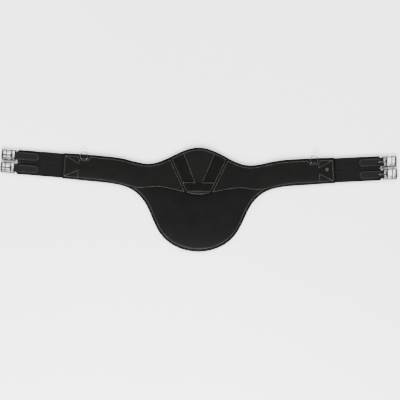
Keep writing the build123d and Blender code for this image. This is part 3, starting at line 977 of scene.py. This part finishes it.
@dataclass
class Straps:
    """The two strap panels, from the slanted seams to the leather's ends."""

    padding: Padding
    inset: float = 4.6
    stitch_inset: float = 7.5
    wave_inset: float = 2.2
    seam_inset: float = 2.0
    end_inset: float = 5.2
    seam_foot: tuple[float, float] = (39.9, 24.0)
    seam_head: tuple[float, float] = (86.0, 122.0)
    seam_half: float = 1.4
    notch_floor: tuple[float, float] = (12.6, 23.4)
    notch_mouth: tuple[float, float] = (15.8, 34.15)
    notch_gap: float = 2.2
    apex_front: tuple[float, float] = (-47.9, 9.6)
    apex_rear: tuple[float, float] = (-47.6, -9.6)
    sunk: float = 0.42
    pad_insets: tuple[float, float] = (6.0, 6.4)
    pad_foot: float = 0.4
    pad_gap: float = 0.06
    pad_share: float = 0.97

    def seam_shift(self, path: Array) -> Array:
        """Distance of points outwards from the seam's middle line."""
        foot, head = np.array(self.seam_foot), np.array(self.seam_head)
        run = (head - foot) / np.linalg.norm(head - foot)
        return (path[:, 0] - foot[0]) * run[1] - (path[:, 1] - foot[1]) * run[0]

    def outside(self, path: Array, shift: float) -> Array:
        """The part of a right-hand path at least shift outwards from the seam."""
        past = shift - self.seam_shift(path)
        return up_to(path[::-1], past[::-1])[::-1]

    def notched(self, path: Array, floor: tuple[float, float], mouth: tuple[float, float]) -> Array:
        """A front curve led round the ring's notch, given by its half-widths and depths."""
        from_ring = (path - arm(RING_S, 0)) @ ALONG
        corners = arm(RING_S + np.array([-mouth[0], -floor[0], floor[0], mouth[0]]),
                      [mouth[1], floor[1], floor[1], mouth[1]])
        return np.vstack([path[from_ring < -mouth[0]], corners, path[from_ring > mouth[0]]])

    def panel_curves(self) -> tuple[Array, Array]:
        """Rear and front curves of the right-hand panel."""
        rear = self.outside(wave_edge(), self.seam_half)
        front = self.outside(front_edge(self.inset), self.seam_half)
        return rear, self.notched(front, self.notch_floor, self.notch_mouth)

    def stitch_paths(self) -> list[Array]:
        """Stitch lines of the right-hand panel, in plan.

        The edges' lines are set in from the panel's own edges, the notch is followed round, and at
        the leather's end two triangles are closed on the upright line across it.
        """
        clear = self.seam_half + self.seam_inset
        front = cut_at_end(self.outside(front_edge(self.stitch_inset), clear), -self.end_inset)
        rear = cut_at_end(self.outside(wave_edge(self.wave_inset), clear), -self.end_inset)
        floor = (self.notch_floor[0] + 1.0, self.notch_floor[1] - self.notch_gap)
        mouth = (self.notch_mouth[0] + self.notch_gap, LEATHER_HALF - self.stitch_inset)
        front = self.notched(front, floor, mouth)
        apex_front, apex_rear = arm(*self.apex_front), arm(*self.apex_rear)
        below = rear[int(np.argmin(np.abs((rear - apex_rear) @ ALONG)))]
        notch_foot = arm(RING_S + floor[0], floor[1])
        straight = [(rear[0], front[0]), (rear[-1], front[-1]), (notch_foot, apex_front),
                    (apex_front, front[-1]), (apex_rear, rear[-1]), (apex_rear, below)]
        return [rear, front, *map(np.array, straight)]

    def build(self, finishes: Finishes) -> None:
        """Build both panels, their stitching and the padding under them."""
        paths = self.stitch_paths()
        top, under = self.padding.level(STRAP_LEATHER), self.padding.level(CLEAR)
        slab = Slab(*self.panel_curves(), columns=210, rows=24, roll=1.3)
        lines = [on_surface(path, raised(top, -self.sunk)) for path in paths]
        for side in Side:
            leather = slab.build(f"strap_panel_{side.word}", top, under, side, grooves=paths)
            dress(leather, finishes.strap, GIRTH, [f"{side.word}_strap_leather"])
            seam = Seam().build(f"strap_stitching_{side.word}", lines, side)
            dress(seam, finishes.thread, GIRTH)
        rear, front = self.pad_insets
        pad = Slab(both_halves(wave_edge(rear)), both_halves(front_edge(front)), columns=230, rows=18,
                   roll=0.4, edge_rows=(0.0, 0.5, 2.0))
        piece = pad.build("strap_pad", self.pad_height, flat(LINING + self.pad_foot))
        dress(piece, finishes.pad_cloth, GIRTH, ["strap_foam", "core_web"])

    def pad_height(self, plan: Array) -> Array:
        """Upper face of the padding: a little below the leather that lies on it."""
        return DECK - self.pad_gap + self.pad_share * self.padding.rise(plan)


@dataclass
class Centre:
    """Centre panel, its T-shaped yoke with two recessed windows, the lip and the piped seams."""

    padding: Padding
    straps: Straps
    base: float = 1.4
    yoke: float = 1.7
    skive: float = 0.3
    band_tuck: float = 0.5
    neck_lap: float = 3.0
    neck_foot: tuple[float, float] = (13.9, 54.0)
    neck_head: tuple[float, float] = (48.4, 139.4)
    foot_stitch: tuple[float, float] = (37.5, 25.6)
    rear_stitch: tuple[float, float] = (2.4, 3.0)
    seam_gap: float = 1.6
    seam_stitch: float = 3.6
    edge_stitch: float = 6.9
    inset: float = 2.3
    groove: float = 0.45
    sunk: float = 0.38
    lip_height: float = 4.0
    lip_half: float = 50.0
    lip_fade: float = 26.0
    lip_front: float = 56.0
    crest: float = 25.6
    lip_fall: float = 14.5
    lip_rest: float = 0.12
    lip_skive: float = 0.95
    piping: float = 1.15
    piping_level: float = 0.75
    piping_inset: float = 5.2
    piping_foot: float = 2.5

    def lip(self, plan: Array) -> Array:
        """Lift of the lip: it climbs from the windows to a crest at the foot's stitching.

        From there it falls to the rear edge as a half cosine. It fades to the lip's two ends.
        """
        across = ease((self.lip_half - np.abs(plan[:, 0])) / self.lip_fade)
        climb = ease((self.lip_front - plan[:, 1]) / (self.lip_front - self.crest))
        fall = 0.5 + 0.5 * np.cos(math.pi * np.clip((self.crest - plan[:, 1]) / self.lip_fall, 0, 1))
        return self.lip_height * across * climb * (self.lip_rest + (1 - self.lip_rest) * fall)

    def seam_x(self, y: Array | float, shift: float) -> Array:
        """X of the right-hand seam line at height y, moved outwards by shift across it."""
        foot, head = self.straps.seam_foot, self.straps.seam_head
        run = (head[0] - foot[0]) / (head[1] - foot[1])
        return foot[0] + run * (np.asarray(y, float) - foot[1]) + shift * math.hypot(1, run)

    def neck_x(self, y: Array | float) -> Array:
        """X of the neck's right-hand side at height y."""
        (low_x, low_y), (high_x, high_y) = self.neck_foot, self.neck_head
        return low_x + (high_x - low_x) / (high_y - low_y) * (np.asarray(y, float) - low_y)

    def inside_seams(self, half: Array, shift: float) -> Array:
        """The part of a right-hand half-curve inside the seam by shift, with its last point on it."""
        return up_to(half, half[:, 0] - self.seam_x(half[:, 1], -shift))

    def neck_front(self) -> Array:
        """Right half of the neck's front edge, as far as the neck's side."""
        front = self.inside_seams(front_edge(self.straps.inset), self.seam_gap)
        return front[:int(np.argmax(front[:, 0] > self.neck_x(front[:, 1]))) + 1]

    def base_height(self, plan: Array) -> Array:
        """Upper face of the centre panel."""
        return DECK + self.base + self.padding.rise(plan) + self.lip(plan)

    def base_under(self, plan: Array) -> Array:
        """Underside of the centre panel, which thins under the lip."""
        return DECK + CLEAR + self.padding.rise(plan) + self.lip_skive * self.lip(plan)

    def yoke_height(self, plan: Array) -> Array:
        """Upper face of the yoke."""
        return self.base_height(plan) + self.yoke

    def stitch_height(self, plan: Array) -> Array:
        """Upper face under a stitch: the yoke's, or the panel's inside a window."""
        x, y = np.abs(plan[:, 0]), plan[:, 1]
        window = (y > self.neck_foot[1]) & (x > self.neck_x(y))
        return np.where(window, self.base_height(plan), self.yoke_height(plan))

    def stitch_paths(self) -> list[Array]:
        """Stitch lines in plan: foot, front edge, then each window's side, seam and sill, rear edge."""
        front = self.inside_seams(front_edge(self.edge_stitch), self.seam_stitch)
        half, low = self.foot_stitch
        corner = (self.neck_foot[0] - self.inset, self.neck_foot[1] - self.inset)
        side = [corner, self.neck_front()[-1] - (self.inset, 0)]
        seam = [(self.seam_x(low, -self.seam_stitch), low), front[-1]]
        sill = [corner, (self.seam_x(corner[1], -self.seam_stitch), corner[1])]
        paths = [np.array([(-half, low), (half, low)]), both_halves(front)]
        paths += [np.array(line) * (sign, 1) for sign in (-1, 1) for line in (side, seam, sill)]
        edge, shift = self.rear_stitch
        return [*paths, both_halves(self.inside_seams(wave_edge(edge), shift))]

    def plans(self) -> tuple[Slab, Slab, Slab]:
        """Plans of the centre panel and of the yoke's two ruled parts, cross band and flaring neck."""
        rear, front = (both_halves(self.inside_seams(curve, self.straps.seam_half))
                       for curve in (wave_edge(), front_edge(self.straps.inset)))
        high = self.neck_foot[1]
        low = high - self.neck_lap
        band_rear = self.inside_seams(wave_edge(self.band_tuck), self.seam_gap)
        band_front = np.array([(0, high), (self.seam_x(high, -self.seam_gap), high)])
        neck_rear = np.array([(0, low), (self.neck_x(low), low)])
        panel = Slab(rear, front, columns=80, rows=50, roll=1.0)
        band = Slab(both_halves(band_rear), both_halves(even(band_front, 1.5)), columns=90, rows=30, roll=1.5)
        neck = Slab(both_halves(even(neck_rear, SAMPLE)), both_halves(self.neck_front()), columns=60, rows=52)
        return panel, band, neck

    def build(self, finishes: Finishes) -> None:
        """Build the panel, the yoke, the stitching and the piping."""
        lines = self.stitch_paths()
        panel, band, neck = self.plans()
        under = raised(self.base_height, -self.skive)
        # The centre panel and the cross band take the darker copy of the hide: painted shade of the recessed
        # windows and of the band
        rows = (("centre_panel_hide", panel, self.base_height, self.base_under, finishes.window,
                 ["centre_panel"], 0.3),
                ("yoke_band", band, self.yoke_height, under, finishes.window, ["centre_yoke"], None),
                ("yoke_neck", neck, self.yoke_height, under, finishes.yoke, [], None))
        for name, slab, top, bottom, hide, nodes, fill in rows:
            piece = slab.build(name, top, bottom, grooves=lines, depth=self.groove)
            dress(piece, hide, GIRTH, nodes)
        surface = raised(self.stitch_height, -self.sunk)
        seam = Seam().build("yoke_stitching", [on_surface(line, surface) for line in lines])
        dress(seam, finishes.thread, GIRTH)
        self.build_piping(finishes)

    def build_piping(self, finishes: Finishes) -> None:
        """Build the piped seams: a round cord sunk between the panels, carried along the seam.

        Its radius is its full value times the square root of one less the 40th power of the
        distance from its middle, so that only its ends are drawn in.
        """
        columns, corners = 70, 10
        front = front_edge(self.piping_inset)
        top = front[int(np.argmax(front[:, 0] > self.seam_x(front[:, 1], 0))), 1]
        y = np.linspace(self.straps.seam_foot[1] - self.piping_foot, top, columns)
        middle = np.stack([self.seam_x(y, 0.0), y], axis=1)
        share = np.linspace(-0.992, 0.992, columns)[:, None]
        radius = self.piping * np.sqrt(np.clip(1 - share ** 40, 0.02, 1))
        turn = full_turn(corners)
        xy = middle[:, None] + (radius * np.cos(turn))[..., None] * right_hand(middle)[:, None]
        level = DECK + self.piping_level + self.padding.rise(middle)
        z = level[:, None] + radius * np.sin(turn)
        vertices = with_height(xy, z)
        faces = [ring_faces(columns, corners)[:, ::-1]]
        no_edge_mark = np.zeros(len(vertices))
        for side in Side:
            piece = make_piece(f"seam_piping_{side.word}", vertices, faces, side, edge_wear_and_shade=no_edge_mark)
            dress(piece, finishes.binding, GIRTH, [f"{side.word}_seam_welt"])


# ==== The arms' ends ====================================================================================
@dataclass
class ElasticEnd:
    """Elastic, chape and stitching of one buckle line."""

    side: Side
    lane: Lane
    elastic_half: float = 18.5
    sewn_in: float = 9.0
    short_of_bar: float = 3.8
    corner: tuple[tuple[float, float], ...] = ((6.0, 1.0), (4.0, 0.89), (2.0, 0.78), (0.0, 0.68))
    chape_half: float = 12.5
    bar_s: float = 147.8
    tip_s: float = 74.4
    leather: float = 1.8
    hold: float = 1.3
    eye: float = 2.1
    stitch_inset: float = 2.7
    stitch_end: float = 8.5
    sunk: float = 0.25

    @property
    def label(self) -> str:
        """The buckle line's name, as it stands in its nodes and bodies."""
        return f"{self.side.word}_{self.lane.word}"

    @property
    def body(self) -> str:
        """Body that the chape is on."""
        return f"{self.label}_chape"

    def build_elastic(self, finishes: Finishes) -> None:
        """Build the elastic, which stretches between the leather's end and the chape."""
        before, share = np.array(self.corner).T
        s = np.append(-self.sewn_in, self.bar_s - self.short_of_bar - before)
        line = layers(s, (ELASTIC_LOW + ELASTIC_HIGH) / 2)
        strip = Strip(line, np.append(1.0, share) * self.elastic_half, ELASTIC_HIGH - ELASTIC_LOW,
                      self.lane.value, spacing=2.0, across=16)
        piece = strip.build(f"elastic_{self.label}", self.side)
        dress(piece, finishes.elastic, "", [f"{self.label}_elastic"])
        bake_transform(piece)

    def place(self, s: float) -> tuple[float, float, float]:
        """Point of the line of pull in metres, in the girth's frame."""
        x, y = arm(s, self.lane.value)
        return (self.side.value * x * MM, y * MM, LINE_OF_PULL * MM)

    def fold_line(self) -> tuple[Array, Array]:
        """Middle line of the chape's leather and its half-width.

        Out along the top of the elastic, round the bar as a half circle, and back underneath. The
        half-width narrows over the last half-width of each leg as a circle does.
        """
        middle = self.hold + self.leather / 2
        radius = self.eye + self.leather / 2
        flare = self.bar_s - 7.0
        turn = np.linspace(math.pi / 2, -math.pi / 2, 15)
        fold = np.stack([self.bar_s + radius * np.cos(turn), radius * np.sin(turn)], axis=1)
        leg = np.array([(self.tip_s, middle), (flare - 3, middle), (flare + 0.5, middle + 0.05)])
        line = np.vstack([leg, fold, leg[::-1] * (1, -1)])
        dense = even(line, 0.7)
        inward = np.clip((dense[:, 0] - self.tip_s) / self.chape_half, 0.0, 1)
        half = self.chape_half * np.sqrt(np.clip(1 - (1 - inward) ** 2, 0.0004, 1))
        return dense + (0, LINE_OF_PULL), half

    def build_chape(self, finishes: Finishes) -> None:
        """Build the chape and the stitching that holds the elastic between its legs."""
        line, half = self.fold_line()
        strip = Strip(line, half, self.leather, self.lane.value, spacing=0.9, across=14)
        piece = strip.build(f"chape_fold_{self.label}", self.side)
        dress(piece, finishes.chape, self.body, [f"{self.label}_chape"])
        inset = self.chape_half - self.stitch_inset
        turn = np.linspace(math.pi / 2, 3 * math.pi / 2, 25)
        end = self.bar_s - self.stitch_end
        s = [end, *(self.tip_s + self.chape_half + inset * np.cos(turn)), end]
        v = [inset, *(inset * np.sin(turn)), -inset]
        plan = arm(s, self.lane.value + np.array(v))
        height = self.hold + self.leather - self.sunk
        for word, sign in (("outer", 1), ("inner", -1)):
            path = even(with_height(plan, LINE_OF_PULL + sign * height), 1.2)
            name = f"chape_stitching_{word}_{self.label}"
            seam = Seam(pitch=3.9, length=3.0).build(name, [path], self.side, down=sign < 0)
            dress(seam, finishes.soft_thread, self.body)

    def build(self, finishes: Finishes) -> None:
        """Build everything on this line."""
        self.build_elastic(finishes)
        self.build_chape(finishes)


@dataclass
class RingTab:
    """Webbing tab that holds a ring, and the flat web under the ring."""

    side: Side
    bar_v: float = 26.6
    half: float = 8.0
    level: float = 9.1
    radius: float = 2.2
    tail_v: tuple[float, float] = (19.8, 23.4)
    tuck: tuple[float, float] = (21.6, 0.62)
    section: tuple[tuple[float, float], ...] = ((-1, 0.25), (-0.97, 0.45), (-0.6, 0.48), (-0.2, 0.48),
                                                (0.2, 0.48), (0.6, 0.48), (0.97, 0.45), (1, 0.25))

    def build(self, finishes: Finishes) -> None:
        """Build the tab as a loop of webbing round the ring's bar, with its tail under the leather."""
        turn = np.linspace(-math.pi / 2, 1.35 * math.pi / 2, 17)
        loop = layers(self.bar_v + self.radius * np.cos(turn), self.level + self.radius * np.sin(turn))
        tail = [(v, self.level - self.radius) for v in self.tail_v]
        line = even(np.vstack([tail, loop, [(self.tuck[0], self.level + self.tuck[1])]]), 0.6)
        share, thick = np.array(self.section).T
        wide, thick = np.append(share, share[::-1]) * self.half, np.append(thick, -thick[::-1])
        v, z = carried(line, thick)
        xy = arm(RING_S + np.broadcast_to(wide, v.shape), v)
        piece = make_piece(f"tab_loop_{self.side.word}", with_height(xy, z),
                           closed_faces(len(line), len(wide)), self.side)
        dress(piece, finishes.webbing, GIRTH, [f"{self.side.word}_ring_tab"])


@dataclass
class Stamp:
    """Plain round stamp pressed near the right-hand end: a low disc with a raised rim."""

    padding: Padding
    middle: tuple[float, float] = (392.8, 98.8)
    radius: float = 5.6
    profile: tuple[tuple[float, float], ...] = ((0.0, 0.28), (0.25, 0.28), (0.62, 0.24), (0.72, 0.5),
                                                (0.84, 0.52), (0.93, 0.35), (1.0, -0.2))
    rings: int = 16
    corners: int = 48

    def build(self, finishes: Finishes) -> None:
        """Build it as a disc whose height follows its own profile over the leather."""
        share = np.linspace(0, 1, self.rings)
        lift = np.interp(share, *np.array(self.profile).T)
        turn = full_turn(self.corners)
        across = self.radius * share[:, None]
        plan = np.array(self.middle) + layers(across * np.cos(turn), across * np.sin(turn))
        z = self.padding.level(STRAP_LEATHER)(plan) + np.repeat(lift, self.corners)
        faces = [ring_faces(self.rings, self.corners)]
        piece = make_piece("blank_stamp", with_height(plan, z), faces, edge_wear_and_shade=np.zeros(len(plan)))
        dress(piece, finishes.foil, GIRTH)


# ==== Stage =============================================================================================
@dataclass
class Studio:
    """Pale floor, soft lights and the camera straight above."""

    view_width: float = 1.228
    distance: float = 6.0
    middle: tuple[float, float] = (0.0052, -0.0011)
    roll: float = math.radians(1.0)
    room_light: float = 0.16
    floor_half: float = 6000.0
    lamps: tuple[tuple, ...] = (("key", (-0.3, -3.2, 1.95), 2.0, 820.0),
                                ("fill", (2.2, 2.4, 1.7), 1.8, 260.0),
                                ("side", (-2.6, 1.9, 1.6), 1.8, 240.0))

    def build(self) -> None:
        """Build the stage."""
        self.floor()
        for name, place, size, power in self.lamps:
            self.lamp(name, place, size, power)
        world = bpy.data.worlds.new("room")
        world.use_nodes = True
        background = world.node_tree.nodes["Background"]
        background.inputs["Color"].default_value = srgb("#e8eaec")
        background.inputs["Strength"].default_value = self.room_light
        bpy.context.scene.world = world
        data = bpy.data.cameras.new("camera")
        data.sensor_width = 36.0
        data.lens = data.sensor_width * self.distance / self.view_width
        data.clip_end = 50.0
        camera = bpy.data.objects.new("camera", data)
        camera.location = (*self.middle, self.distance)
        camera.rotation_euler = (0.0, 0.0, self.roll)
        bpy.context.scene.collection.objects.link(camera)
        bpy.context.scene.camera = camera

    def floor(self) -> None:
        """Build the floor, a pale sheet that the girth lies on."""
        corners = np.array([(-1, -1, 0), (1, -1, 0), (1, 1, 0), (-1, 1, 0)]) * self.floor_half
        piece = make_piece("floor", corners, [np.array([[0, 1, 2, 3]])])
        piece.data.materials.append(FloorPaint("painted_floor", "#f8f8f8", "#f4f4f4").material())

    @staticmethod
    def lamp(name: str, place: tuple[float, float, float], size: float, power: float) -> None:
        """Add a square area lamp that faces the girth."""
        data = bpy.data.lights.new(name, "AREA")
        data.size = size
        data.energy = power
        lamp = bpy.data.objects.new(name, data)
        lamp.location = place
        lamp.rotation_euler = (-Vector(place)).to_track_quat("-Z", "Y").to_euler()
        bpy.context.scene.collection.objects.link(lamp)


def dress_metal(finishes: Finishes) -> None:
    """Give the CAD buckles, rollers, tongues and rings their steel."""
    for name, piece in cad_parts.items():
        if name.endswith(("_buckle_frame", "_roller", "_tongue", "_ring")):
            for slot in piece.material_slots:
                slot.material = finishes.steel


def main() -> None:
    """Build the girth piece by piece."""
    logging.basicConfig(level=logging.INFO, format="%(name)s: %(message)s")
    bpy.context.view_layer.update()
    Studio().build()
    finishes = Finishes()
    padding = Padding()
    straps = Straps(padding)
    Rims().build(finishes)
    Guard(padding).build(finishes)
    straps.build(finishes)
    Centre(padding, straps).build(finishes)
    for side in Side:
        for lane in Lane:
            ElasticEnd(side, lane).build(finishes)
        RingTab(side).build(finishes)
    Stamp(padding).build(finishes)
    dress_metal(finishes)


if __name__ == "__main__":
    main()
